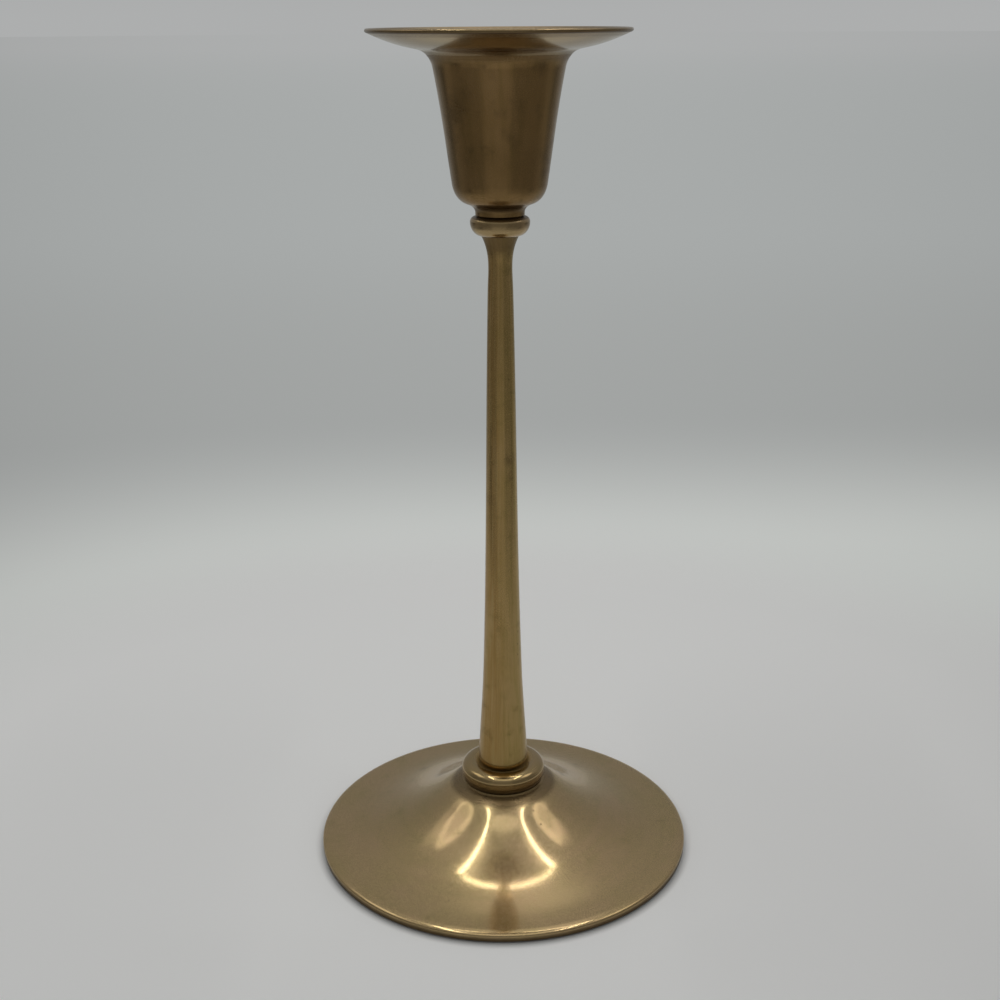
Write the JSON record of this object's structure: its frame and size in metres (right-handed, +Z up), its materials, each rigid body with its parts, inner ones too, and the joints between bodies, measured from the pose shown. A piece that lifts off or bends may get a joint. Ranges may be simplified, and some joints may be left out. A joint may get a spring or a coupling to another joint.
{
  "type": "candlestick",
  "caption": "Tall metal candlestick with a hollow flared foot, a moulded collar, a slender tapering stem and a bell cup whose wide drip pan lifts out with its candle sleeve.",
  "frame": {"origin": "on the axis, in the plane that the foot plate stands on", "axes": "+Z up along the turning axis, towards the candle; +X to the right and +Y away, seen as in the picture"},
  "size_m": [0.1192, 0.1192, 0.254],
  "materials": {
    "aged_bronze": "satin, worn, fine turning marks and light tarnish",
    "stem_bronze": "satin, drawn lengthwise, olive tarnish streaks",
    "dark_bronze": "satin, browner patina with soft upright streaks",
    "screw_brass": "turned, dull",
    "sleeve_brass": "drawn tube, dull",
    "fastener_steel": "zinc plated, dull"
  },
  "bodies": {
    "candlestick": {"foot_plate": "aged_bronze", "collar": "aged_bronze", "stem": "stem_bronze", "neck_ring": "aged_bronze", "candle_cup": "dark_bronze", "cup_screw": "screw_brass", "foot_stud": "fastener_steel", "foot_washer": "screw_brass", "foot_nut": "screw_brass"},
    "lift_out_pan": {"drip_pan": "aged_bronze", "candle_sleeve": "sleeve_brass"}
  },
  "joints": [
    {"name": "pan_lift", "type": "slide", "parent": "candlestick", "child": "lift_out_pan", "axis": [0, 0, 1], "range_m": [0, 0.045]}
  ]
}
